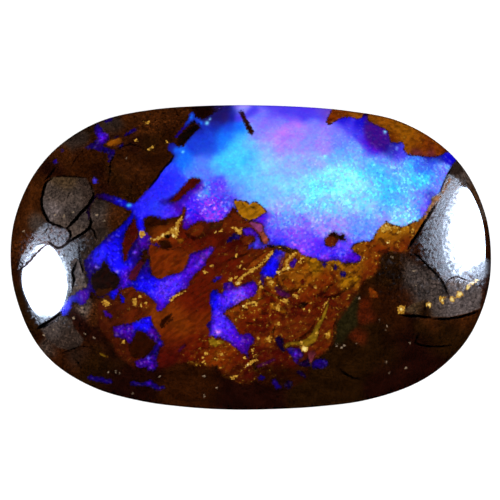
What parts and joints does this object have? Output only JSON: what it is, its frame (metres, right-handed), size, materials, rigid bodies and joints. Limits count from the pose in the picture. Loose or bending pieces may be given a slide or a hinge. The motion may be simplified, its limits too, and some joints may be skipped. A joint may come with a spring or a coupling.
{
  "type": "polished boulder opal cabochon",
  "caption": "Oval domed stone of dark ironstone with a window of blue and violet opal and rust-brown fragments, flat on the back, to rest on a table or sit in a setting.",
  "frame": {"origin": "middle of the flat back, on the surface that the stone rests on", "axes": "+X along the stone, +Y across it, +Z out of the domed face"},
  "size_m": [0.022, 0.014, 0.0044],
  "materials": {
    "boulder_opal": "dark brown ironstone with blue and violet opal, high polish on the dome, fine ground matt on the back"
  },
  "bodies": {
    "root": {"stone": "boulder_opal"}
  },
  "joints": []
}
